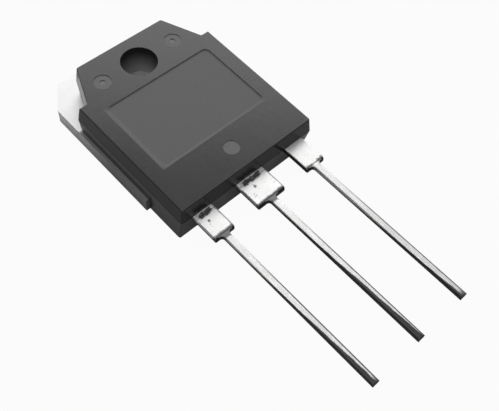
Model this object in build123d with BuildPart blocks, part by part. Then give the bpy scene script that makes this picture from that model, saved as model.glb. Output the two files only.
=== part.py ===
from build123d import *

import os
from math import atan2, degrees, hypot

# Insulated-gate power transistor in a three-lead, screw-down plastic package.
#
# Millimetres. The part lies on its heat-sink face: z = 0 is the flat metal back, +Z goes up
# through the mounting hole, whose centre is the origin, and the leads point along -Y.
# A "drop" is a distance from the hole's centre towards the leads, a "rise" one away from them.

os.makedirs("parts", exist_ok=True)

# ---------------------------------------------------------------- moulded body
# Plan sizes are those at the parting plane, where the mould halves meet and the body is widest.
package_height = 4.95
parting_height = 3.35
upper_draft = 7.0
lower_draft = 4.0
end_undercut = 0.55           # how far the end wall leans in from the parting plane to the back
body_width = 15.44
end_drop = 15.2               # the wall that the leads leave by
shoulder_drop = 0.9
shoulder_step = 0.9           # each side, from the full width in to the foot of the tab
tab_clip = 1.75               # each side, from the foot of the tab in to its top wall
tab_rise = 3.1
corner_radius = 0.18
tab_corner_radius = 0.25
rim_radius = 0.08             # edge round the top face

# Label panel, left bare: a shallow recess, steep on two sides and sloping on the others
panel_side_margin = 1.72
panel_drop = 2.55
panel_end_margin = 4.38
panel_radius = 0.6
panel_depth = 0.1
panel_steep_edge = 0.1
panel_side_slope = 0.45       # the gate's side
panel_end_slope = 0.3         # towards the leads
panel_floor_radius = 0.4

# Marks left by the mould's ejector pins
pin_mark = 1.7
pin_mark_depth = 0.05
pin_centre = 0.55
pin_centre_depth = 0.12
pin_mark_spread = 8.2
pin_mark_rise = 0.1
end_mark = 1.5
end_mark_depth = 0.05
end_mark_margin = 2.44        # from the end wall

# ---------------------------------------------------------------- heat-sink plate
plate_thickness = 1.6
plate_proud = 0.17            # how far it stands out of the body's widest line at each side
plate_rise = 5.0
plate_corner_width = 1.8
plate_corner_height = 2.6
plate_side_drop = 10.6        # where the full width stops
tongue_inset = 1.3            # each side, inside the plastic
tongue_cover = 3.0            # plastic between the tongue and the end wall
tongue_corner = 0.8
lock_groove_width = 0.8       # groove that keys the plastic to the plate, as long as the tongue is wide
lock_groove_depth = 0.3
lock_groove_drop = 2.5
screw_hole = 3.2
plastic_hole = 3.5

# ---------------------------------------------------------------- leads
lead_thickness = 0.5
lead_pitch = 5.45
tail_width = 0.66
tail_coining = 0.05           # how far a tail's upper face lies below its root's
lead_length = 19.92           # from the end wall to the tips
root_length = 2.95            # wide part, from the end wall
outer_root_width = 2.15
middle_root_width = 3.15
root_end_radius = 0.3         # the trimming punch draws the root's end down
necking_radius = 0.28
lead_edge_radius = 0.1        # the punch rolls the upper edges over, the lower ones stay sharp
tip_taper = 0.2
tip_taper_length = 0.5
middle_bend_radius = 0.7
middle_bend_cover = 1.3       # plastic between the end of the bend and the end wall
post_width = 3.2
post_length = 1.4
post_inset = 0.55             # how far a post's centre is nearer the middle than its lead's
post_cover = 1.1              # plastic between a post and the end wall
post_radius = 0.3

# Marks of the clamp that holds the gate and collector roots
stamp_depth = 0.08
crease_offset = 0.55          # from the end wall
crease_width = 0.3
punch_mark = 0.3
punch_offset = 1.17           # from the end wall
punch_sidestep = 0.13         # towards the gate's side, as a share of the root's width

# ---------------------------------------------------------------- chips and bond wires
solder_thickness = 0.1
solder_margin = 0.15
die_thickness = 0.25
igbt_side = 6.6
igbt_edge_gap = 2.6           # from the tongue's left edge
igbt_post_gap = 1.4           # from the posts
diode_side = 3.2
diode_gap = 0.7               # between the chips, across the plate
diode_step = 1.2              # diode's centre above the other chip's centre, and half its growth

power_wire = 0.38
power_loop_rise = 0.8         # above the posts
power_foot_length = 0.9
power_foot_width = 0.55
gate_wire_diameter = 0.2
gate_loop_rise = 0.45
gate_foot_length = 0.5
gate_foot_width = 0.32
bond_pitch = 0.8              # between neighbouring bonds on the emitter post
emitter_bond_x = 1.6          # bonds on a chip, from the chip's centre
emitter_bond_spread = 1.2
emitter_bond_stagger = 1.4
diode_bond_spread = 0.9
diode_bond_stagger = 0.8
gate_bond_inset = 0.7         # from the chip's corner

# Shape of every bond wire, as shares of its own span or thickness
wire_sides = 6
wire_lift = 0.55              # centre line above the bonded surface, in diameters
wire_bend = 1.2               # bend radius, in diameters
wire_stub = 0.7               # how much of half a foot the round wire covers
loop_start = 0.22
loop_end = 0.66

# ---------------------------------------------------------------- derived places
upper_height = package_height - parting_height
foot_width = body_width - 2 * shoulder_step
tab_width = foot_width - 2 * tab_clip
panel_width = body_width - 2 * panel_side_margin
panel_length = end_drop - panel_end_margin - panel_drop
panel_centre = -panel_drop - panel_length / 2
panel_side_shift = (panel_side_slope - panel_steep_edge) / 2
panel_end_shift = (panel_end_slope - panel_steep_edge) / 2
plate_width = body_width + 2 * plate_proud
tongue_width = plate_width - 2 * tongue_inset
tongue_drop = end_drop - tongue_cover
lead_bottom = parting_height - lead_thickness
root_end = end_drop + root_length
tip_drop = end_drop + lead_length
bend_end = end_drop - middle_bend_cover
post_x = lead_pitch - post_inset
post_bottom = end_drop - post_cover
post_top = post_bottom - post_length
bond_y = -(post_top + post_bottom) / 2
die_base = plate_thickness + solder_thickness
die_top = die_base + die_thickness
igbt_x = -tongue_width / 2 + igbt_edge_gap + igbt_side / 2
igbt_y = -post_top + igbt_post_gap + igbt_side / 2
diode_x = igbt_x + igbt_side / 2 + diode_gap + diode_side / 2
diode_y = igbt_y + diode_step + diode_side / 2


def plate_outline():
    """Plan of the heat-sink plate: clipped top corners, narrower tongue inside the plastic."""
    half = plate_width / 2
    tongue = tongue_width / 2
    right = [
        (tongue - tongue_corner, -tongue_drop),
        (tongue, -tongue_drop + tongue_corner),
        (tongue, -plate_side_drop),
        (half, -plate_side_drop),
        (half, plate_rise - plate_corner_height),
        (half - plate_corner_width, plate_rise),
    ]
    left = [(-x, y) for x, y in reversed(right)]
    return right + left


def body_outline():
    """Plan of the moulding at the parting plane."""
    right = [
        (body_width / 2, -end_drop),
        (body_width / 2, -shoulder_drop),
        (foot_width / 2, -shoulder_drop),
        (tab_width / 2, tab_rise),
    ]
    left = [(-x, y) for x, y in reversed(right)]
    return right + left


def flat_lead(x, root_width, start_drop):
    """Flat run of one lead: wide root with a drawn-down end, and a long tail, a little thinner."""
    with BuildPart(mode=Mode.PRIVATE) as root:
        with BuildSketch(Plane.YZ.offset(x - root_width / 2)) as profile:
            with Locations((-(start_drop + root_end) / 2, lead_bottom + lead_thickness / 2)):
                Rectangle(root_end - start_drop, lead_thickness)
            fillet(profile.vertices().group_by(Axis.X)[0].sort_by(Axis.Y)[-1], root_end_radius)
        extrude(amount=root_width)
        upper = root.faces().sort_by(Axis.Z)[-1].edges().filter_by(Axis.Y)
        fillet(upper, lead_edge_radius)
    with BuildPart(mode=Mode.PRIVATE) as tail:
        with BuildSketch(Plane.XY.offset(lead_bottom)) as plan:
            with Locations((x, -root_end + root_end_radius / 2)):
                Rectangle(tail_width + 3 * necking_radius, root_end_radius)
            with Locations((x, -(root_end + tip_drop) / 2)):
                Rectangle(tail_width, tip_drop - root_end)
            tip, foot = plan.vertices().group_by(Axis.Y)[:2]
            fillet(foot.filter_by(lambda corner: abs(corner.X - x) < tail_width), necking_radius)
            chamfer(tip, tip_taper_length, tip_taper)
        extrude(amount=lead_thickness - tail_coining)
        upper = tail.faces().sort_by(Axis.Z)[-1].edges()
        fillet(upper.filter_by(lambda edge: edge.center().Y < -root_end), lead_edge_radius)
    return root.part + tail.part


def clamp_marks(x, root_width):
    """Shallow crease across a wide root and a small punch mark beside its middle."""
    with BuildSketch(Plane.XY.offset(parting_height)) as marks:
        with Locations((x, -end_drop - crease_offset)):
            Rectangle(root_width, crease_width)
        with Locations((x - root_width * punch_sidestep, -end_drop - punch_offset)):
            Circle(punch_mark / 2)
    extrude(marks.sketch, amount=-stamp_depth, mode=Mode.SUBTRACT)


# Collector frame: the heat-sink plate and the middle lead are one stamping. The lead starts
# flush with the plate's inner face and is bent up to the height of the other two.
with BuildPart() as collector_frame:
    with BuildSketch():
        with BuildLine():
            Polyline(*plate_outline(), close=True)
        make_face()
    extrude(amount=plate_thickness)
    with BuildSketch(Plane.YZ.offset(-tongue_width / 2)):
        with Locations((-lock_groove_drop, plate_thickness)):
            Rectangle(lock_groove_width, lock_groove_depth * 2)
    extrude(amount=tongue_width, mode=Mode.SUBTRACT)
    with BuildLine() as bend:
        FilletPolyline(
            (0, -tongue_drop + lead_thickness, plate_thickness - lead_thickness / 2),
            (0, -tongue_drop - lead_thickness, plate_thickness - lead_thickness / 2),
            (0, -bend_end, parting_height - lead_thickness / 2),
            (0, -bend_end - lead_thickness, parting_height - lead_thickness / 2),
            radius=middle_bend_radius,
        )
    with BuildSketch(Plane(bend.line @ 0, x_dir=(1, 0, 0), z_dir=bend.line % 0)):
        Rectangle(middle_root_width, lead_thickness)
    sweep(path=bend.line)
    add(flat_lead(0, middle_root_width, bend_end + lead_thickness))
    clamp_marks(0, middle_root_width)
    with Locations((0, 0, plate_thickness)):
        Hole(screw_hole / 2, plate_thickness)
collector_frame.part.label = "collector_frame"
export_step(collector_frame.part, "parts/collector_frame.step")


def outer_lead(name, side, clamped):
    """Lead 1 or lead 3: a bond post inside the plastic, leaning towards the middle."""
    with BuildPart() as lead:
        with BuildSketch(Plane.XY.offset(lead_bottom)) as post:
            with Locations((side * post_x, bond_y)):
                RectangleRounded(post_width, post_length, post_radius)
        extrude(post.sketch, amount=lead_thickness)
        add(flat_lead(side * lead_pitch, outer_root_width, post_bottom - post_radius))
        if clamped:
            clamp_marks(side * lead_pitch, outer_root_width)
    lead.part.label = name
    export_step(lead.part, f"parts/{name}.step")
    return lead.part


gate_lead = outer_lead("gate_lead", -1, True)
emitter_lead = outer_lead("emitter_lead", 1, False)


def chip(name, side, x, y):
    """One silicon chip and the solder that joins it to the plate."""
    with BuildPart() as solder:
        with BuildSketch(Plane.XY.offset(plate_thickness)) as pad:
            with Locations((x, y)):
                Rectangle(side + 2 * solder_margin, side + 2 * solder_margin)
        extrude(pad.sketch, amount=solder_thickness)
    solder.part.label = f"{name}_solder"
    export_step(solder.part, f"parts/{name}_solder.step")
    with BuildPart() as die:
        with BuildSketch(Plane.XY.offset(die_base)) as square:
            with Locations((x, y)):
                Rectangle(side, side)
        extrude(square.sketch, amount=die_thickness)
    die.part.label = f"{name}_die"
    export_step(die.part, f"parts/{name}_die.step")
    return [solder.part, die.part]


igbt = chip("igbt", igbt_side, igbt_x, igbt_y)
diode = chip("diode", diode_side, diode_x, diode_y)


def bond_wire(name, start, end, diameter, loop_rise, foot_length, foot_width):
    """Aluminium wire from a chip to a post: flattened foot, arched loop, flattened foot."""
    span = hypot(end[0] - start[0], end[1] - start[1])
    heading = degrees(atan2(end[1] - start[1], end[0] - start[0]))
    lift = diameter * wire_lift
    heel = foot_length / 2
    stub = heel * wire_stub

    def station(distance, height):
        share = distance / span
        return (
            start[0] + share * (end[0] - start[0]),
            start[1] + share * (end[1] - start[1]),
            height,
        )

    with BuildPart() as wire:
        with BuildLine() as route:
            FilletPolyline(
                station(-stub, die_top + lift),
                station(heel, die_top + lift),
                station(heel + span * loop_start, parting_height + loop_rise),
                station(span * loop_end, parting_height + loop_rise - diameter / 2),
                station(span - heel, parting_height + lift),
                station(span + stub, parting_height + lift),
                radius=diameter * wire_bend,
            )
        with BuildSketch(Plane(route.line @ 0, z_dir=route.line % 0)) as section:
            RegularPolygon(diameter / 2, wire_sides)
        sweep(section.sketch, path=route.line)
        for centre, surface in ((start, die_top), (end, parting_height)):
            with BuildSketch(Plane.XY.offset(surface)) as foot:
                with Locations(Location(centre, heading)):
                    Rectangle(foot_length, foot_width)
                chamfer(foot.vertices(), foot_width / 4)
            extrude(foot.sketch, amount=diameter / 2)
    wire.part.label = name
    export_step(wire.part, f"parts/{name}.step")
    return wire.part


def power_wires(name, chip_x, chip_y, spread, stagger, bonds):
    """Pair of thick wires from one chip to neighbouring bonds on the emitter post."""
    pair = []
    for number, side in enumerate((-1, 1)):
        start = (chip_x + side * spread / 2, chip_y + side * stagger / 2)
        pair.append(bond_wire(f"{name}_{number + 1}", start, bonds[number], power_wire,
                              power_loop_rise, power_foot_length, power_foot_width))
    return pair


post_bonds = [(post_x + step * bond_pitch, bond_y) for step in (-1.5, -0.5, 0.5, 1.5)]
emitter_wires = power_wires("emitter_wire", igbt_x + emitter_bond_x, igbt_y,
                            emitter_bond_spread, emitter_bond_stagger, post_bonds[:2])
diode_wires = power_wires("diode_wire", diode_x, diode_y,
                          diode_bond_spread, diode_bond_stagger, post_bonds[2:])
gate_corner = (igbt_x - igbt_side / 2 + gate_bond_inset, igbt_y - igbt_side / 2 + gate_bond_inset)
gate_wire = bond_wire("gate_wire", gate_corner, (-post_x, bond_y), gate_wire_diameter,
                      gate_loop_rise, gate_foot_length, gate_foot_width)

# Moulded body: one epoxy moulding poured round everything above. Both halves of the mould
# draft away from the parting plane, the end wall more than the rest on the lower side.
with BuildPart() as molded_body:
    with BuildSketch(Plane.XY.offset(parting_height)) as plan:
        with BuildLine():
            Polyline(*body_outline(), close=True)
        make_face()
    extrude(amount=upper_height, taper=upper_draft)
    extrude(plan.sketch, amount=-parting_height, taper=lower_draft)
    with BuildSketch(Plane.YZ.offset(-body_width / 2)):
        with BuildLine():
            Polyline(
                (-end_drop, parting_height),
                (-end_drop - end_undercut, parting_height),
                (-end_drop - end_undercut, 0),
                (-end_drop + end_undercut, 0),
                close=True,
            )
        make_face()
    extrude(amount=body_width, mode=Mode.SUBTRACT)

    # The upright corners are rounded, and so is the rim of the top face
    uprights = molded_body.edges().filter_by(lambda edge: abs((edge % 0.5).Z) > 0.8)
    tab_corners = uprights.filter_by(lambda edge: edge.center().Y > 0)
    end_corners = uprights.filter_by(lambda edge: edge.center().Y < -end_drop / 2)
    fillet(tab_corners, tab_corner_radius)
    fillet(end_corners, corner_radius)
    fillet(molded_body.faces().sort_by(Axis.Z)[-1].edges(), rim_radius)

    # Label panel
    with BuildSketch(Plane.XY.offset(package_height)):
        with Locations((0, panel_centre)):
            RectangleRounded(panel_width, panel_length, panel_radius)
    with BuildSketch(Plane.XY.offset(package_height - panel_depth)):
        with Locations((panel_side_shift, panel_centre + panel_end_shift)):
            RectangleRounded(panel_width - panel_steep_edge - panel_side_slope,
                             panel_length - panel_steep_edge - panel_end_slope,
                             panel_floor_radius)
    loft(mode=Mode.SUBTRACT)

    # Ejector-pin marks
    with Locations(
        (-pin_mark_spread / 2, pin_mark_rise, package_height),
        (pin_mark_spread / 2, pin_mark_rise, package_height),
    ):
        CounterBoreHole(pin_centre / 2, pin_mark / 2, pin_mark_depth, pin_centre_depth)
    with Locations((0, -end_drop + end_mark_margin, package_height)):
        Hole(end_mark / 2, end_mark_depth)

    # Screw hole, a little wider in the plastic than in the plate
    with Locations((0, 0, package_height)):
        Hole(plastic_hole / 2, package_height)

    # Everything that the epoxy was poured round
    for inner in (collector_frame.part, gate_lead, emitter_lead, gate_wire,
                  *igbt, *diode, *emitter_wires, *diode_wires):
        add(inner, mode=Mode.SUBTRACT)
molded_body.part.label = "molded_body"
export_step(molded_body.part, "parts/molded_body.step")
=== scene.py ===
import math

import bpy
from mathutils import Matrix, Vector


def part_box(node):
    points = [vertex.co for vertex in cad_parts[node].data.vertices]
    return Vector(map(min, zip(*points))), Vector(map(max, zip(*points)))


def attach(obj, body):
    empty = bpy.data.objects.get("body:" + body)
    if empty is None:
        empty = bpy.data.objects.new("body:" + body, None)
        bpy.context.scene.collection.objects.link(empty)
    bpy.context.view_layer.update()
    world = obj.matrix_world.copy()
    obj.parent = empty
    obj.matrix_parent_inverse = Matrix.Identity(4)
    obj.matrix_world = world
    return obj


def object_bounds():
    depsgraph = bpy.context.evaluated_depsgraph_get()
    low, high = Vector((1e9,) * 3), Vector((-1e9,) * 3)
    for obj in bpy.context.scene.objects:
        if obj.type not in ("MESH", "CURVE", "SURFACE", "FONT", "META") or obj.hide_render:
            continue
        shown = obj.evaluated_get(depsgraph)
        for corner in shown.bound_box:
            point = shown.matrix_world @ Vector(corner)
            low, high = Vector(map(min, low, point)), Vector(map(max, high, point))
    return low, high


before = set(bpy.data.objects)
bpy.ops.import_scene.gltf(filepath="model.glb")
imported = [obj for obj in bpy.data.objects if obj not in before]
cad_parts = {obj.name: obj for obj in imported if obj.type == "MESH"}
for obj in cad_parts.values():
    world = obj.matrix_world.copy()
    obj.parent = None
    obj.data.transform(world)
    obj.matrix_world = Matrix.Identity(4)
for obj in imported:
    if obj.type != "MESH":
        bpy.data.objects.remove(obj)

bl_info = {
    "name": "Power transistor dressing",
    "version": (1, 0, 0),
    "blender": (4, 5, 0),
    "location": "3D View > Sidebar > Transistor",
    "description": "Finishes and studio for a screw-down power transistor with three leads",
    "category": "Object",
}

MM = 0.001
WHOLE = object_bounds()
BODY_LOW, BODY_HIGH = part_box("molded_body")
SHOULDER = -0.9 * MM          # where the body's full width stops, from the screw hole's centre
EDGE = 0.06                   # softness of a mask's edge, in millimetres
GLOSS = 0.06                  # share of the white backdrop that shows in reflections
SOLDERS = ("igbt_solder", "diode_solder")
WIRES = ("gate_wire", "emitter_wire_1", "emitter_wire_2", "diode_wire_1", "diode_wire_2")


# ---------------------------------------------------------------- sizes and colours
class EpoxySettings(bpy.types.PropertyGroup):
    """Moulding compound and the marks that the mould leaves on it."""

    colour: bpy.props.FloatVectorProperty(
        name="Compound", description="Colour of the polished skin",
        subtype="COLOR", size=3, default=(0.016, 0.016, 0.017))
    matt_colour: bpy.props.FloatVectorProperty(
        name="Matt compound", description="Colour of the label panel",
        subtype="COLOR", size=3, default=(0.088, 0.088, 0.089))
    polish: bpy.props.FloatProperty(
        name="Polished roughness", description="Roughness of the skin outside the panel",
        subtype="FACTOR", min=0.0, max=1.0, default=0.22)
    matt: bpy.props.FloatProperty(
        name="Matt roughness", description="Roughness of the label panel and the pin marks",
        subtype="FACTOR", min=0.0, max=1.0, default=0.62)
    pin_colour: bpy.props.FloatVectorProperty(
        name="Pin marks", description="Colour of the marks that the ejector pins leave",
        subtype="COLOR", size=3, default=(0.113, 0.113, 0.114))
    filler_colour: bpy.props.FloatVectorProperty(
        name="Filler", description="Colour of the filler grains that show in the skin",
        subtype="COLOR", size=3, default=(0.12, 0.12, 0.12))
    # painted light: the dimple is coloured lighter than its pin mark to offset the shade in the
    # recess
    nib_light_colour: bpy.props.FloatVectorProperty(
        name="Pin nib", description="Colour of the dimple inside a pin mark",
        subtype="COLOR", size=3, default=(0.16, 0.16, 0.16))
    # painted light: pale grey that lights up the screw hole's wall deeper down
    bore_light_colour: bpy.props.FloatVectorProperty(
        name="Hole wall", description="Colour of the wall that the core pin leaves in the hole",
        subtype="COLOR", size=3, default=(0.36, 0.36, 0.36))
    bore: bpy.props.FloatProperty(
        name="Hole", description="Diameter of the screw hole in the compound",
        unit="LENGTH", default=3.5 * MM)
    panel_side: bpy.props.FloatProperty(
        name="Panel side margin", description="From the body's side in to the label panel",
        unit="LENGTH", default=1.72 * MM)
    panel_drop: bpy.props.FloatProperty(
        name="Panel drop", description="From the hole's centre down to the label panel",
        unit="LENGTH", default=2.55 * MM)
    panel_end: bpy.props.FloatProperty(
        name="Panel end margin", description="From the end wall up to the label panel",
        unit="LENGTH", default=4.38 * MM)
    pin_spread: bpy.props.FloatProperty(
        name="Pin mark spread", description="Between the two ejector-pin marks",
        unit="LENGTH", default=8.2 * MM)
    pin_rise: bpy.props.FloatProperty(
        name="Pin mark rise", description="Pin marks above the hole's centre, in plan",
        unit="LENGTH", default=0.1 * MM)
    pin_size: bpy.props.FloatProperty(
        name="Pin mark size", description="Diameter of an ejector-pin mark",
        unit="LENGTH", default=1.7 * MM)
    nib_size: bpy.props.FloatProperty(
        name="Pin nib size", description="Diameter of the dimple inside a pin mark",
        unit="LENGTH", default=0.55 * MM)
    end_rise: bpy.props.FloatProperty(
        name="End mark place", description="Centre of the mark near the leads, along the body",
        unit="LENGTH", default=-12.76 * MM)
    end_size: bpy.props.FloatProperty(
        name="End mark size", description="Diameter of the mark near the leads",
        unit="LENGTH", default=1.5 * MM)


class TinSettings(bpy.types.PropertyGroup):
    """Tin plating on the stamping, and its bare sheared edges."""

    colour: bpy.props.FloatVectorProperty(
        name="Tin", description="Colour of the plated faces",
        subtype="COLOR", size=3, default=(0.815, 0.815, 0.81))
    # this colour darkens the leads' steep faces and the band along their left edge, which widens
    # towards the tip
    dark_edge_colour: bpy.props.FloatVectorProperty(
        name="Sheared edge", description="Colour of the tarnished edges that the punch cut",
        subtype="COLOR", size=3, default=(0.06, 0.06, 0.06))
    # also the colour of the painted dark line along each tail's right edge, and of the darker
    # tips and root ends
    scrape_and_shade_colour: bpy.props.FloatVectorProperty(
        name="Scraped tin", description="Colour where the tin is scraped off or bitten",
        subtype="COLOR", size=3, default=(0.1, 0.1, 0.1))
    plate_colour: bpy.props.FloatVectorProperty(
        name="Plate", description="Colour of the matt plated faces of the heat-sink plate",
        subtype="COLOR", size=3, default=(0.65, 0.65, 0.65))
    cut_colour: bpy.props.FloatVectorProperty(
        name="Plate edge", description="Colour of the plate's cut edges",
        subtype="COLOR", size=3, default=(0.51, 0.51, 0.51))
    # painted shade: dark grey laid on the plate's ledge beside the body
    ledge_shade_colour: bpy.props.FloatVectorProperty(
        name="Bled compound", description="Colour of the thin film of compound along the plate",
        subtype="COLOR", size=3, default=(0.2, 0.2, 0.2))
    pitch: bpy.props.FloatProperty(
        name="Lead pitch", description="Between the centre lines of the leads",
        unit="LENGTH", default=5.45 * MM)
    root: bpy.props.FloatProperty(
        name="Root length", description="Wide part of a lead, from the end wall",
        unit="LENGTH", default=2.95 * MM)
    punch: bpy.props.FloatProperty(
        name="Punch mark", description="Centre of a root's punch mark, from the end wall",
        unit="LENGTH", default=1.17 * MM)
    sidestep: bpy.props.FloatProperty(
        name="Punch mark sidestep", description="Off the root's middle, in half root widths",
        default=0.26)
    outer_root: bpy.props.FloatProperty(
        name="Outer root width", description="Width of the outer leads' roots",
        unit="LENGTH", default=2.15 * MM)
    middle_root: bpy.props.FloatProperty(
        name="Middle root width", description="Width of the middle lead's root",
        unit="LENGTH", default=3.15 * MM)
    tail: bpy.props.FloatProperty(
        name="Tail width", description="Width of a lead's long tail",
        unit="LENGTH", default=0.66 * MM)
    underside: bpy.props.FloatProperty(
        name="Underside", description="Height of the leads' lower face",
        unit="LENGTH", default=2.85 * MM)
    plate: bpy.props.FloatProperty(
        name="Plate thickness", description="Thickness of the heat-sink plate",
        unit="LENGTH", default=1.6 * MM)
    shoulder: bpy.props.FloatProperty(
        name="Shoulder", description="Where the full width of the body stops",
        unit="LENGTH", default=SHOULDER)
    polish: bpy.props.FloatProperty(
        name="Tin roughness", description="Roughness of the plated faces",
        subtype="FACTOR", min=0.0, max=1.0, default=0.4)


class ChipSettings(bpy.types.PropertyGroup):
    """Finishes of the pieces inside the moulding."""

    silicon: bpy.props.FloatVectorProperty(
        name="Silicon", description="Colour of a chip's bare edge ring",
        subtype="COLOR", size=3, default=(0.09, 0.1, 0.13))
    pad: bpy.props.FloatVectorProperty(
        name="Pad", description="Colour of a chip's metal pads and of the bond wires",
        subtype="COLOR", size=3, default=(0.78, 0.79, 0.8))
    sheen: bpy.props.FloatVectorProperty(
        name="Silicon sheen", description="Violet cast in parts of the bare silicon",
        subtype="COLOR", size=3, default=(0.05, 0.04, 0.09))
    ring: bpy.props.FloatProperty(
        name="Edge ring", description="Bare silicon between a chip's edge and its pads",
        unit="LENGTH", default=0.35 * MM)
    finger: bpy.props.FloatProperty(
        name="Finger spacing", description="Between the grooves that part a pad's fingers",
        unit="LENGTH", default=0.4 * MM)
    gate_pad: bpy.props.FloatProperty(
        name="Gate pad", description="Side of the square gate pad",
        unit="LENGTH", default=1.1 * MM)
    moat: bpy.props.FloatProperty(
        name="Gate moat", description="Side of the square without metal round the gate pad",
        unit="LENGTH", default=1.4 * MM)
    solder: bpy.props.FloatVectorProperty(
        name="Solder", description="Colour of the die-attach solder",
        subtype="COLOR", size=3, default=(0.45, 0.45, 0.46))


class FlashSettings(bpy.types.PropertyGroup):
    """Thin fin of compound where the mould halves meet."""

    height: bpy.props.FloatProperty(
        name="Parting line", description="Height of the parting line above the metal back",
        unit="LENGTH", default=3.35 * MM)
    shoulder: bpy.props.FloatProperty(
        name="Shoulder", description="Where the full width of the body stops",
        unit="LENGTH", default=SHOULDER)
    foot_inset: bpy.props.FloatProperty(
        name="Foot of the tab", description="From the body's side in to the foot of the tab",
        unit="LENGTH", default=0.9 * MM)
    tab_inset: bpy.props.FloatProperty(
        name="Top of the tab", description="From the body's side in to the tab's top corner",
        unit="LENGTH", default=2.65 * MM)
    reach: bpy.props.FloatProperty(
        name="Reach", description="How far the fin stands out of the wall",
        unit="LENGTH", default=0.012 * MM)
    thickness: bpy.props.FloatProperty(
        name="Thickness", description="Thickness of the fin",
        unit="LENGTH", default=0.02 * MM)
    corner: bpy.props.FloatProperty(
        name="Corner radius", description="Rounding of the body's upright corners",
        unit="LENGTH", default=0.18 * MM)


class StudioSettings(bpy.types.PropertyGroup):
    """Camera, floor and lights."""

    azimuth: bpy.props.FloatProperty(
        name="Camera azimuth", description="Turn of the camera about the vertical",
        subtype="ANGLE", default=math.radians(-50.616))
    elevation: bpy.props.FloatProperty(
        name="Camera elevation", description="Height of the camera above the horizon",
        subtype="ANGLE", default=math.radians(58.238))
    roll: bpy.props.FloatProperty(
        name="Camera roll", description="Turn of the picture about the line of sight",
        subtype="ANGLE", default=math.radians(8.796))
    distance: bpy.props.FloatProperty(
        name="Camera distance", description="From the camera to its target",
        unit="LENGTH", default=62.765 * MM)
    target: bpy.props.FloatVectorProperty(
        name="Camera target", description="Point that the camera looks at",
        subtype="XYZ", unit="LENGTH", default=(-1.537 * MM, -16.998 * MM, 2.15 * MM))
    lens: bpy.props.FloatProperty(
        name="Focal length", description="Focal length in millimetres on a 36 mm sensor",
        default=51.91)
    window: bpy.props.FloatProperty(
        name="Window light", description="Brightness of the wide soft light behind the part",
        default=2.2)
    window_turn: bpy.props.FloatProperty(
        name="Window azimuth", description="Where the window stands, counted as the camera's is",
        subtype="ANGLE", default=math.radians(141.0))
    window_distance: bpy.props.FloatProperty(
        name="Window distance", description="From the part to the window, along the floor",
        unit="LENGTH", default=0.5)
    window_width: bpy.props.FloatProperty(
        name="Window width", description="Width of the window light",
        unit="LENGTH", default=1.4)
    window_sill: bpy.props.FloatProperty(
        name="Window sill", description="Height of the window light's lower edge",
        unit="LENGTH", default=0.13)
    window_top: bpy.props.FloatProperty(
        name="Window top", description="Height of the window light's upper edge",
        unit="LENGTH", default=0.65)
    table: bpy.props.FloatProperty(
        name="Table size", description="Side of the square table top",
        unit="LENGTH", default=1.2)
    table_shade: bpy.props.FloatProperty(
        name="Table shade", description="Grey of the table top as the light sees it",
        subtype="FACTOR", min=0.0, max=1.0, default=0.35)
    table_glow: bpy.props.FloatProperty(
        name="Table glow", description="Share of plain white that the camera sees on the table",
        subtype="FACTOR", min=0.0, max=1.0, default=0.95)
    fill: bpy.props.FloatProperty(
        name="Fill light", description="Brightness of the soft lamp on the camera's side",
        default=1.8)
    fill_rise: bpy.props.FloatProperty(
        name="Fill height", description="Height of the soft lamp above the horizon",
        subtype="ANGLE", default=math.radians(70.0))
    fill_distance: bpy.props.FloatProperty(
        name="Fill distance", description="From the part to the soft lamp",
        unit="LENGTH", default=0.6)
    fill_size: bpy.props.FloatProperty(
        name="Fill size", description="Side of the square soft lamp",
        unit="LENGTH", default=0.5)
    room: bpy.props.FloatProperty(
        name="Room light", description="Brightness of the room behind and above the part",
        default=0.3)
    front: bpy.props.FloatProperty(
        name="Front light", description="Brightness of the room in front of the part",
        default=0.03)
    crown: bpy.props.FloatProperty(
        name="Skylight", description="Added brightness of a soft patch high above the part",
        default=0.62)
    crown_place: bpy.props.FloatVectorProperty(
        name="Skylight place", description="Direction from the part to the soft patch",
        subtype="DIRECTION", size=3, default=(0.37, 0.17, 0.91))


# ---------------------------------------------------------------- node trees
class Wire:
    """An output socket that can be used in arithmetic; each operator adds a Math node."""

    def __init__(self, tree, socket):
        self.tree = tree
        self.socket = socket

    def math(self, operation, first, second=0.0, clamp=False):
        return self.tree.node("ShaderNodeMath", {"operation": operation, "use_clamp": clamp},
                              [first, second])

    def __add__(self, other):
        return self.math("ADD", self, other)

    def __sub__(self, other):
        return self.math("SUBTRACT", self, other)

    def __rsub__(self, other):
        return self.math("SUBTRACT", other, self)

    def __mul__(self, other):
        return self.math("MULTIPLY", self, other)

    def __truediv__(self, other):
        return self.math("DIVIDE", self, other)

    def __abs__(self):
        return self.math("ABSOLUTE", self)

    __radd__ = __add__
    __rmul__ = __mul__

    def root(self):
        return self.math("SQRT", self)

    def clamped(self):
        return self.math("ADD", self, 0.0, clamp=True)

    def above(self, edge, soft):
        """1 where the value is over the edge, 0 where it is under it, soft in between."""
        return self.math("ADD", (self - edge) / soft, 0.5, clamp=True)

    def either(self, other):
        return self.math("MAXIMUM", self, other)


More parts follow.
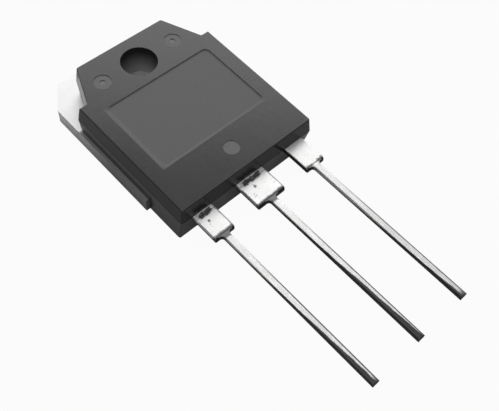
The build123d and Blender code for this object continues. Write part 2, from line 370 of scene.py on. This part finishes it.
class Tree:
    """A node tree, of a material, of the world or of a modifier."""

    def __init__(self, nodes):
        self.tree = nodes
        self.tree.nodes.clear()

    def node(self, kind, settings=None, inputs=None, output=0):
        """Adds one node, sets it up, feeds its sockets and gives back one of its outputs."""
        made = self.tree.nodes.new(kind)
        for key, value in (settings or {}).items():
            setattr(made, key, value)
        pairs = inputs.items() if isinstance(inputs, dict) else enumerate(inputs or [])
        for key, value in pairs:
            if isinstance(value, Wire):
                self.tree.links.new(value.socket, made.inputs[key])
            else:
                made.inputs[key].default_value = value
        return Wire(self, made.outputs[output]) if made.outputs else made

    def blend(self, factor, first, second):
        """Colour that goes from the first to the second as the factor rises."""
        return self.node("ShaderNodeMix", {"data_type": "RGBA"},
                         {0: factor, 6: self.paint(first), 7: self.paint(second)}, 2)

    @staticmethod
    def paint(colour):
        return colour if isinstance(colour, Wire) else (*colour, 1.0)

    def place(self, scale=(1.0, 1.0, 1.0)):
        """Object coordinates in millimetres, stretched by the scale."""
        return self.node("ShaderNodeMapping", None, {
            "Vector": self.node("ShaderNodeTexCoord", output="Object"),
            "Scale": tuple(part / MM for part in scale)})

    def noise(self, scale, stretch=(1.0, 1.0, 1.0), detail=2.0, rough=0.5):
        """Even noise around zero; the scale is in features a millimetre."""
        return self.node("ShaderNodeTexNoise", None, {
            "Vector": self.place(stretch), "Scale": scale, "Detail": detail,
            "Roughness": rough}) - 0.5

    def axes(self, vector):
        parts = self.tree.nodes.new("ShaderNodeSeparateXYZ")
        self.tree.links.new(vector.socket, parts.inputs[0])
        return [Wire(self, end) for end in parts.outputs]

    def disc(self, off_x, off_y, size):
        """1 inside a circle of the given diameter, 0 outside it."""
        return (size / 2 - (off_x * off_x + off_y * off_y).root()).above(0.0, EDGE)

    def bump(self, height, depth, under=None):
        """Relief of the given depth in metres."""
        feeds = {"Strength": 1.0, "Distance": depth, "Height": height}
        if under is not None:
            feeds["Normal"] = under
        return self.node("ShaderNodeBump", None, feeds)

    def backdrop(self):
        """How much of the white backdrop a ray shows: all of it straight on, a trace in gloss."""
        path = self.node("ShaderNodeLightPath").socket.node.outputs
        straight, glossy, through = [Wire(self, path[name]) for name in (
            "Is Camera Ray", "Is Glossy Ray", "Is Transmission Ray")]
        return straight.either(glossy * GLOSS).either(through)

    def finish(self, shader):
        self.node("ShaderNodeOutputMaterial", None, [shader])


def new_material(name):
    material = bpy.data.materials.new(name)
    material.use_nodes = True
    return material, Tree(material.node_tree)


def shade(colour, share):
    """The colour at a share of its brightness, and at most white."""
    return [min(1.0, part * share) for part in colour]


def band(value, low, high, soft):
    """1 between the two edges, 0 outside them."""
    return value.above(low, soft) * (high - value).above(0.0, soft)


def dress(names, material):
    """Gives frame nodes their finish."""
    for name in names:
        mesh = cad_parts[name].data
        mesh.materials.clear()
        mesh.materials.append(material)


# ---------------------------------------------------------------- finishes
def panel(x, y, settings):
    """1 on the label panel, in plan."""
    width = BODY_HIGH[0] - BODY_LOW[0] - 2 * settings.panel_side
    length = -settings.panel_drop - BODY_LOW[1] - settings.panel_end
    centre = -settings.panel_drop - length / 2
    across = (width / 2 / MM - abs(x)).above(0.0, EDGE)
    along = (length / 2 / MM - abs(y - centre / MM)).above(0.0, EDGE)
    return across * along


def pin_marks(tree, x, y, settings):
    """Masks of the three ejector-pin marks, and of the dimples inside the two on the tab."""
    off_x = abs(x) - settings.pin_spread / 2 / MM
    off_y = y - settings.pin_rise / MM
    tab = tree.disc(off_x, off_y, settings.pin_size / MM)
    end = tree.disc(x, y - settings.end_rise / MM, settings.end_size / MM)
    return tab.either(end), tree.disc(off_x, off_y, settings.nib_size / MM)


def epoxy(settings):
    """Black moulding compound: polished skin, and spark-eroded panel and pin marks."""
    material, tree = new_material("epoxy_black")
    x, y, z = tree.axes(tree.place())
    top = BODY_HIGH[2] / MM
    marks, nibs = pin_marks(tree, x, y, settings)
    upper = z.above(top - 0.3, 0.05)
    matt = panel(x, y, settings).either(marks) * upper
    under_rim = (top - 0.12 - z).above(0.0, 0.1)
    bore = tree.disc(x, y, settings.bore / MM + EDGE) * under_rim

    flow = tree.noise(0.35, (1.0, 0.45, 1.0), 3.0)
    mottle = tree.noise(2.5, detail=3.0)
    grains = tree.node("ShaderNodeTexVoronoi", None, {
        "Vector": tree.place(), "Scale": 7.0}, "Distance")
    skin = tree.blend((flow * 1.2 + mottle * 0.5 + 0.5).clamped(),
                      shade(settings.colour, 0.86), shade(settings.colour, 1.14))
    eroded = tree.blend((mottle * 1.5 + 0.5).clamped(),
                        shade(settings.matt_colour, 0.94), shade(settings.matt_colour, 1.06))
    eroded = tree.blend(marks, eroded, settings.pin_colour)
    # painted light: lighter colour in the dimples offsets their shade
    eroded = tree.blend(nibs, eroded, settings.nib_light_colour)
    colour = tree.blend(matt, skin, eroded)
    filler = (0.07 - grains).above(0.0, 0.05) * 0.35
    colour = tree.blend(filler, colour, settings.filler_colour)
    # painted light: the hole's wall goes from the compound's colour at the rim to pale grey
    # deeper down, standing in for light reaching the lower wall
    depth = (top - 0.7 - z).above(1.1, 2.2)
    wall = tree.blend(depth, settings.colour, settings.bore_light_colour)
    colour = tree.blend(bore, colour, wall)

    roughness = (matt.either(bore) * (settings.matt - settings.polish) + settings.polish
                 + flow * 0.05 + mottle * 0.03)
    sparks = tree.noise(11.0, detail=4.0, rough=0.6) * (matt * 0.75 + 0.25)
    waves = tree.noise(0.8, detail=1.0)
    relief = tree.bump(sparks, 0.012 * MM, under=tree.bump(waves, 0.006 * MM))
    tree.finish(tree.node("ShaderNodeBsdfPrincipled", None, {
        "Base Color": colour, "Roughness": roughness, "IOR": 1.52, "Normal": relief}))
    return material


class Stamping:
    """One tinned stamping: where a point lies on it, how wear marks its finish there, and where
    light or shade is painted on it.

    All lengths are in millimetres: across counts from a lead's middle line, down from the
    body's end wall towards the tips, and z up from the metal back.
    """

    def __init__(self, tree, settings, half_root):
        self.tree = tree
        self.settings = settings
        self.half_root = half_root
        self.x, self.y, self.z = tree.axes(tree.place())
        pitch = settings.pitch / MM
        self.across = tree.node("ShaderNodeMath", {"operation": "WRAP"},
                                [self.x, pitch / 2, -pitch / 2])
        self.down = BODY_LOW[1] / MM - self.y
        self.leads = self.down.above(-0.5, 0.2)
        self.tail = self.down.above(settings.root / MM, 0.1)
        self.tilt = tree.axes(tree.node("ShaderNodeTexCoord", output="Normal"))
        self.sheared = (0.55 - abs(self.tilt[2])).above(0.0, 0.35)   # steep faces

        self.drag = tree.noise(9.0, (1.0, 1.0, 0.08), 3.0)
        self.rolled = tree.noise(7.0, (1.0, 0.05, 1.0), 2.0)
        self.cloud = tree.noise(0.7, detail=3.0)
        self.pimples = tree.noise(5.0, detail=3.0, rough=0.6)
        self.ragged = tree.noise(2.2, (1.0, 0.35, 1.0), 4.0, 0.65)

    def bare(self, root_tear, tail_tear):
        """Darker edges: the steep right side, the faces that look towards the tips, and on the
        left a band that climbs over the edge towards the tip.
        """
        girth = (self.z - self.settings.underside / MM
                 + (self.across + self.settings.tail / MM / 2).either(0.0))
        slope = 0.041
        climb = ((self.down - self.settings.root / MM).either(0.0) * slope
                 + self.tail * (tail_tear - root_tear) + root_tear)
        left = (climb - girth + self.ragged * 0.25).above(0.0, 0.06)
        right = self.sheared * self.across.above(0.3, 0.05)
        ends = (0.0 - self.tilt[1]).above(0.55, 0.3)
        return left.either(right).either(ends)

    def clamped(self):
        """What the clamp does to a root: a bitten crease, flecks, a scraped rim, a punch mark."""
        burr = self.tree.noise(2.3, detail=4.0, rough=0.7)
        crease = (band(self.down + burr * 0.8, 0.12, 0.58, 0.1)
                  * (self.across + self.half_root * 0.75 + burr * 1.2).above(0.0, 0.15)
                  * (self.half_root * 0.55 - self.across + burr * 2.0).above(0.0, 0.15)
                  * (self.pimples + burr * 0.5 + 0.2).above(0.0, 0.12))
        flecks = (burr + self.pimples * 0.5).above(0.19, 0.05)
        rim = (self.across + burr * 0.12).above(self.half_root - 0.14, 0.04)
        punch = self.tree.disc(self.across + self.half_root * self.settings.sidestep,
                               self.down - self.settings.punch / MM, 0.22)
        faint = flecks.either(rim).either(punch) * (1.0 - self.tail) * 0.75
        return crease.either(faint)

    def wear_and_shade(self, clamped):
        """Darker tin: a painted dark reflection along the tail's right edge, a darker tip, a
        darker band across the root's end, and the clamp's marks on a clamped root.
        """
        root = self.settings.root / MM
        tip = (BODY_LOW[1] - WHOLE[0][1]) / MM
        # painted reflection: the dark line along the tail's right edge stands in for the dark
        # that the rounded edge reflects
        line = ((self.across + self.ragged * 0.05).above(0.185, 0.03)
                * self.down.above(7.0, 5.0) * self.tail)
        end = (self.down + self.ragged * 1.2).above(tip - 0.52, 0.5)
        collar = band(self.down + self.ragged * 0.5, root - 0.36, root + 0.42, 0.15)
        if clamped:
            marks = self.clamped().either(collar * 0.9)
        else:
            marks = collar * abs(self.across).above(0.3, 0.3) * 0.8
        return line.either(end).either(marks) * self.leads

    def bath(self, lit_share):
        """Tin as it came from the bath, dragged into streaks along the tails."""
        streaks = self.tree.noise(5.0, (1.0, 0.12, 1.0), 3.0, 0.6)
        patches = self.rolled * 0.5 + self.cloud * 1.4 + self.pimples * 0.6 + 0.55
        dragged = self.tail * (self.pimples * 1.6 + streaks * 2.2 - 0.45)
        # painted light: the tin's brightness is scaled for each lead
        return self.tree.blend((patches + dragged).clamped(),
                               shade(self.settings.colour, lit_share * 0.84),
                               shade(self.settings.colour, lit_share * 1.08))

    def plate(self):
        """Matt faces of the plate, and its cut edges, which painted light makes brighter towards
        the tab.
        """
        torn = (self.settings.plate / MM * 0.45 - self.z).above(0.0, 0.12)
        edge = self.tree.blend((self.drag * 1.4 + torn * 0.35 + 0.35).clamped(),
                               shade(self.settings.cut_colour, 1.1),
                               shade(self.settings.cut_colour, 0.7))
        # painted light: the cut edges get lighter towards the tab, standing in for the lit table
        # that they reflect there
        painted_tab_light = self.y.above(-2.0, 8.0) * 1.2 + 0.7
        edge = self.tree.node("ShaderNodeVectorMath", {"operation": "SCALE"},
                              {"Vector": edge, "Scale": painted_tab_light})
        face = self.tree.blend((self.cloud * 1.6 + self.pimples * 0.6 + 0.5).clamped(),
                               shade(self.settings.plate_colour, 0.93),
                               shade(self.settings.plate_colour, 1.07))
        return self.tree.blend(self.sheared, face, edge)

    def ledge_shade(self):
        """Painted shade on the plate's ledge beside the body, standing in for the shade by the
        wall; it also makes the metal there non-metallic.
        """
        ledge = abs(self.x).above(BODY_HIGH[0] / MM - 0.3, 0.1)
        beside = (self.settings.shoulder / MM - self.y).above(0.0, 0.3)
        return (1.0 - self.leads) * ledge * (1.0 - self.sheared) * beside


def tin(name, settings, half_root, tears, lit_share, clamped=True):
    """Dipped tin on a stamping; the tears are the dark edge band's height at the root and the
    tail, and the brightness share paints each lead's tin lighter or darker for how the light
    falls on it.
    """
    material, tree = new_material(name)
    metal = Stamping(tree, settings, half_root)
    wear_and_shade = metal.wear_and_shade(clamped)
    ledge_shade = metal.ledge_shade()
    coat = tree.blend(wear_and_shade, metal.bath(lit_share), settings.scrape_and_shade_colour)
    coat = tree.blend(metal.bare(*tears), coat, settings.dark_edge_colour)
    colour = tree.blend(metal.leads, metal.plate(), coat)
    # painted shade on the plate's ledge beside the body
    colour = tree.blend(ledge_shade, colour, settings.ledge_shade_colour)
    roughness = (metal.sheared * 0.12 + settings.polish + metal.rolled * 0.08
                 + metal.cloud * 0.1 + metal.pimples * 0.05 + (1.0 - metal.leads) * 0.1)
    scratches = tree.bump(metal.drag * metal.sheared + wear_and_shade * metal.ragged, 0.02 * MM)
    relief = tree.bump(metal.pimples * 0.6 + metal.rolled * 0.5, 0.004 * MM, under=scratches)
    tree.finish(tree.node("ShaderNodeBsdfPrincipled", None, {
        "Base Color": colour, "Roughness": roughness, "Metallic": 1.0 - ledge_shade,
        "Normal": relief}))
    return material


def square(off_x, off_y, half):
    """1 inside a square of the given half width, 0 outside it."""
    return (half - abs(off_x)).above(0.0, 0.03) * (half - abs(off_y)).above(0.0, 0.03)


def chip(name, settings, piece, gate_pad):
    """Silicon chip: bare edge ring, metal pad in fingers, and a gate pad in one corner."""
    material, tree = new_material(name)
    low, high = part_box(piece)
    x, y, z = tree.axes(tree.place())
    half = (high[0] - low[0]) / 2 / MM
    off_x = x - (high[0] + low[0]) / 2 / MM
    off_y = y - (high[1] + low[1]) / 2 / MM
    spacing = settings.finger / MM
    fingers = abs(tree.node("ShaderNodeMath", {"operation": "PINGPONG"},
                            [off_x, spacing]) - spacing / 2)
    metal = square(off_x, off_y, half - settings.ring / MM) * fingers.above(0.015, 0.02)
    if gate_pad:
        moat = settings.moat / 2 / MM
        corner_x = off_x + half - moat
        corner_y = off_y + half - moat
        bare = square(corner_x, corner_y, moat)
        pad = square(corner_x, corner_y, settings.gate_pad / 2 / MM)
        metal = (metal * (1.0 - bare)).either(pad)
    metal = metal * z.above(high[2] / MM - 0.02, 0.01)
    tint = tree.noise(1.2, detail=2.0)
    colour = tree.blend((tint + 0.5).clamped(), settings.silicon, settings.sheen)
    colour = tree.blend(metal, colour, settings.pad)
    tree.finish(tree.node("ShaderNodeBsdfPrincipled", None, {
        "Base Color": colour, "Metallic": metal * 0.9 + 0.1,
        "Roughness": metal * 0.2 + 0.15 + tint * 0.05}))
    return material


def soft_metal(name, colour, scale, stretch, roughness, depth):
    """Drawn or wetted metal: fine streaks or puddled grain."""
    material, tree = new_material(name)
    grain = tree.noise(scale, stretch, 3.0)
    tone = tree.blend((grain * 1.6 + 0.5).clamped(), shade(colour, 0.82), shade(colour, 1.12))
    tree.finish(tree.node("ShaderNodeBsdfPrincipled", None, {
        "Base Color": tone, "Metallic": 1.0, "Roughness": grain * 0.25 + roughness,
        "Normal": tree.bump(grain, depth)}))
    return material


# ---------------------------------------------------------------- mould flash
def flash_outline(settings):
    """Plan of the moulding at the parting line, from the frame's own box."""
    side = BODY_HIGH[0]
    foot = side - settings.foot_inset
    tab = side - settings.tab_inset
    right = [(side, BODY_LOW[1]), (side, settings.shoulder), (foot, settings.shoulder),
             (tab, BODY_HIGH[1])]
    return right + [(-x, y) for x, y in reversed(right)]


def flash_tree(material):
    """Modifier that turns the outline into a ragged fin that follows it."""
    group = bpy.data.node_groups.new("mould_flash", "GeometryNodeTree")
    tree = Tree(group)
    group.interface.new_socket(name="Outline", in_out="INPUT", socket_type="NodeSocketGeometry")
    for name in ("Reach", "Thickness", "Corner"):
        group.interface.new_socket(name=name, in_out="INPUT", socket_type="NodeSocketFloat")
    group.interface.new_socket(name="Fin", in_out="OUTPUT", socket_type="NodeSocketGeometry")
    entry = group.nodes.new("NodeGroupInput")
    outline, reach, thickness, corner = [Wire(tree, end) for end in list(entry.outputs)[:4]]
    rounded = tree.node("GeometryNodeFilletCurve", {"mode": "POLY"}, {
        "Curve": outline, "Count": 5, "Radius": corner, "Limit Radius": True})
    even = tree.node("GeometryNodeResampleCurve", {"mode": "LENGTH"}, {
        "Curve": rounded, "Length": 0.2 * MM})
    ragged = tree.node("ShaderNodeTexNoise", None, {
        "Vector": tree.node("GeometryNodeInputPosition"), "Scale": 1.3 / MM, "Detail": 3.0})
    section = tree.node("GeometryNodeCurvePrimitiveQuadrilateral", None, {
        "Width": reach * 2.0, "Height": thickness})
    fin = tree.node("GeometryNodeCurveToMesh", None, {
        "Curve": even, "Profile Curve": section, "Scale": ragged * 1.4 + 0.3,
        "Fill Caps": False})
    flat = tree.node("GeometryNodeSetShadeSmooth", None, {"Geometry": fin, "Shade Smooth": False})
    real = tree.node("GeometryNodeRealizeInstances", None, [flat])
    tree.node("NodeGroupOutput", None, [
        tree.node("GeometryNodeSetMaterial", None, {"Geometry": real, "Material": material})])
    return group


def grown(piece, group, sizes):
    """Runs a geometry-nodes modifier on a curve and keeps the result as a plain mesh."""
    modifier = piece.modifiers.new(group.name, "NODES")
    modifier.node_group = group
    for item in group.interface.items_tree:
        if item.item_type == "SOCKET" and item.in_out == "INPUT" and item.name in sizes:
            modifier[item.identifier] = sizes[item.name]
    depsgraph = bpy.context.evaluated_depsgraph_get()
    mesh = bpy.data.meshes.new_from_object(piece.evaluated_get(depsgraph))
    piece.modifiers.clear()
    bpy.data.objects.remove(piece)
    solid = bpy.data.objects.new(group.name, mesh)
    bpy.context.scene.collection.objects.link(solid)
    return solid


# ---------------------------------------------------------------- studio
def heading(azimuth, elevation):
    """Unit vector from the part; azimuth 0 is the leads' end, 90 degrees the emitter's side."""
    flat = math.cos(elevation)
    return Vector((math.sin(azimuth) * flat, -math.cos(azimuth) * flat, math.sin(elevation)))


def camera(settings):
    azimuth, roll = settings.azimuth, settings.roll
    back = heading(azimuth, settings.elevation)
    level = Vector((math.cos(azimuth), math.sin(azimuth), 0.0))
    lift = back.cross(level)
    right = math.cos(roll) * level + math.sin(roll) * lift
    up = -math.sin(roll) * level + math.cos(roll) * lift
    eye = bpy.data.objects.new("camera", bpy.data.cameras.new("camera"))
    bpy.context.scene.collection.objects.link(eye)
    eye.matrix_world = (Matrix.Translation(Vector(settings.target) + back * settings.distance)
                        @ Matrix((right, up, back)).transposed().to_4x4())
    eye.data.lens = settings.lens
    eye.data.clip_start = 1 * MM
    bpy.context.scene.camera = eye


def floor(settings):
    """Plain white table: it shows white to the camera and keeps a trace of the shadow."""
    material, tree = new_material("table_white")
    grey = settings.table_shade
    paper = tree.node("ShaderNodeBsdfDiffuse", None, {"Color": (grey, grey, grey, 1.0)})
    glow = tree.node("ShaderNodeEmission", None, {"Color": (1.0, 1.0, 1.0, 1.0), "Strength": 1.0})
    share = tree.backdrop() * settings.table_glow
    tree.finish(tree.node("ShaderNodeMixShader", None, [share, paper, glow]))
    half = settings.table / 2
    mesh = bpy.data.meshes.new("table")
    mesh.from_pydata([(-half, -half, 0), (half, -half, 0), (half, half, 0), (-half, half, 0)],
                     [], [(0, 1, 2, 3)])
    mesh.materials.append(material)
    table = bpy.data.objects.new("table", mesh)
    bpy.context.scene.collection.objects.link(table)


def room(settings):
    """Soft room, brighter behind and above the part than in front of it; white to the camera."""
    world = bpy.data.worlds.new("studio")
    bpy.context.scene.world = world
    world.use_nodes = True
    tree = Tree(world.node_tree)

    def facing(direction):
        """Cosine between the ray and the direction."""
        return tree.node("ShaderNodeVectorMath", {"operation": "DOT_PRODUCT"}, [
            tree.node("ShaderNodeTexCoord", output="Generated"), direction], "Value")

    behind = facing(-heading(settings.azimuth, 0.0)).above(0.1, 1.0)
    aloft = facing(settings.crown_place).above(0.94, 0.1)
    level = behind * (settings.room - settings.front) + settings.front + aloft * settings.crown
    strength = level + tree.backdrop() * (1.0 - level)
    light = tree.node("ShaderNodeBackground", None, {
        "Color": (1.0, 1.0, 1.0, 1.0), "Strength": strength})
    tree.node("ShaderNodeOutputWorld", None, [light])


def lamp(name, level, place, back, width, height):
    """Soft rectangular lamp; the level is the brightness of its pane, the back its far side."""
    light = bpy.data.lights.new(name, "AREA")
    light.shape = "RECTANGLE"
    light.size = width
    light.size_y = height
    light.energy = level * math.pi * width * height
    pane = bpy.data.objects.new(name, light)
    bpy.context.scene.collection.objects.link(pane)
    pane.location = place
    pane.rotation_euler = back.to_track_quat("Z", "Y").to_euler()


def lamps(settings):
    """A tall window behind the part, and a soft lamp high on the camera's side."""
    back = heading(settings.window_turn, 0.0)
    sill, top = settings.window_sill, settings.window_top
    middle = back * settings.window_distance + Vector((0.0, 0.0, (sill + top) / 2))
    lamp("window", settings.window, middle, back, settings.window_width, top - sill)
    back = heading(settings.azimuth, settings.fill_rise)
    lamp("fill", settings.fill, back * settings.fill_distance, back, settings.fill_size,
         settings.fill_size)


# ---------------------------------------------------------------- operators
class TRANSISTOR_OT_body(bpy.types.Operator):
    """Finish the moulded body"""

    bl_idname = "transistor.body"
    bl_label = "Moulded body"

    def execute(self, context):
        dress(["molded_body"], epoxy(context.scene.transistor_epoxy))
        return {"FINISHED"}


class TRANSISTOR_OT_metal(bpy.types.Operator):
    """Finish the heat-sink plate and the three leads"""

    bl_idname = "transistor.metal"
    bl_label = "Plate and leads"

    def execute(self, context):
        settings = context.scene.transistor_tin
        middle = settings.middle_root / MM / 2
        outer = settings.outer_root / MM / 2
        # painted light: the brightness share after the tears makes each lead's tin a lighter or
        # darker copy of the same tin
        dress(["collector_frame"], tin("tin_collector", settings, middle, (0.17, 0.25), 1.0))
        dress(["gate_lead"], tin("tin_gate", settings, outer, (0.17, 0.17), 1.03))
        dress(["emitter_lead"], tin("tin_emitter", settings, outer, (0.42, 0.0), 0.88,
                                    clamped=False))
        return {"FINISHED"}


class TRANSISTOR_OT_chips(bpy.types.Operator):
    """Finish the chips, their solder and the bond wires"""

    bl_idname = "transistor.chips"
    bl_label = "Chips and bond wires"

    def execute(self, context):
        settings = context.scene.transistor_chip
        dress(["igbt_die"], chip("silicon_igbt", settings, "igbt_die", True))
        dress(["diode_die"], chip("silicon_diode", settings, "diode_die", False))
        dress(SOLDERS, soft_metal("solder", settings.solder, 1.5, (1.0, 1.0, 1.0), 0.45,
                                  0.01 * MM))
        dress(WIRES, soft_metal("wire_aluminium", settings.pad, 6.0, (1.0, 0.1, 0.3), 0.3,
                                0.003 * MM))
        return {"FINISHED"}


class TRANSISTOR_OT_flash(bpy.types.Operator):
    """Add the fin of compound along the parting line"""

    bl_idname = "transistor.flash"
    bl_label = "Mould flash"

    def execute(self, context):
        settings = context.scene.transistor_flash
        curve = bpy.data.curves.new("mould_flash_line", "CURVE")
        curve.dimensions = "3D"
        line = curve.splines.new("POLY")
        outline = flash_outline(settings)
        line.points.add(len(outline) - 1)
        for point, (x, y) in zip(line.points, outline):
            point.co = (x, y, settings.height, 1.0)
        line.use_cyclic_u = True
        piece = bpy.data.objects.new("mould_flash_line", curve)
        context.scene.collection.objects.link(piece)
        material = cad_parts["molded_body"].data.materials[0]
        fin = grown(piece, flash_tree(material), {
            "Reach": settings.reach, "Thickness": settings.thickness,
            "Corner": settings.corner})
        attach(fin, "root")
        return {"FINISHED"}


class TRANSISTOR_OT_stage(bpy.types.Operator):
    """Set up the camera, the table and the lights"""

    bl_idname = "transistor.stage"
    bl_label = "Studio"

    def execute(self, context):
        settings = context.scene.transistor_studio
        camera(settings)
        floor(settings)
        room(settings)
        lamps(settings)
        context.scene.view_settings.view_transform = "Standard"
        return {"FINISHED"}


OPERATORS = (TRANSISTOR_OT_body, TRANSISTOR_OT_metal, TRANSISTOR_OT_chips, TRANSISTOR_OT_flash,
             TRANSISTOR_OT_stage)


class TRANSISTOR_PT_sidebar(bpy.types.Panel):
    """Buttons for the finishes and the studio"""

    bl_idname = "TRANSISTOR_PT_sidebar"
    bl_label = "Transistor"
    bl_space_type = "VIEW_3D"
    bl_region_type = "UI"
    bl_category = "Transistor"

    def draw(self, context):
        for operator in OPERATORS:
            self.layout.operator(operator.bl_idname)


SETTINGS = {
    "transistor_epoxy": EpoxySettings,
    "transistor_tin": TinSettings,
    "transistor_chip": ChipSettings,
    "transistor_flash": FlashSettings,
    "transistor_studio": StudioSettings,
}


def register():
    for cls in (*SETTINGS.values(), *OPERATORS, TRANSISTOR_PT_sidebar):
        bpy.utils.register_class(cls)
    for name, cls in SETTINGS.items():
        setattr(bpy.types.Scene, name, bpy.props.PointerProperty(type=cls))


def unregister():
    for name in SETTINGS:
        delattr(bpy.types.Scene, name)
    for cls in (TRANSISTOR_PT_sidebar, *OPERATORS, *SETTINGS.values()):
        bpy.utils.unregister_class(cls)


def main():
    register()
    bpy.ops.transistor.stage()
    bpy.ops.transistor.body()
    bpy.ops.transistor.metal()
    bpy.ops.transistor.chips()
    bpy.ops.transistor.flash()


if __name__ == "__main__":
    main()
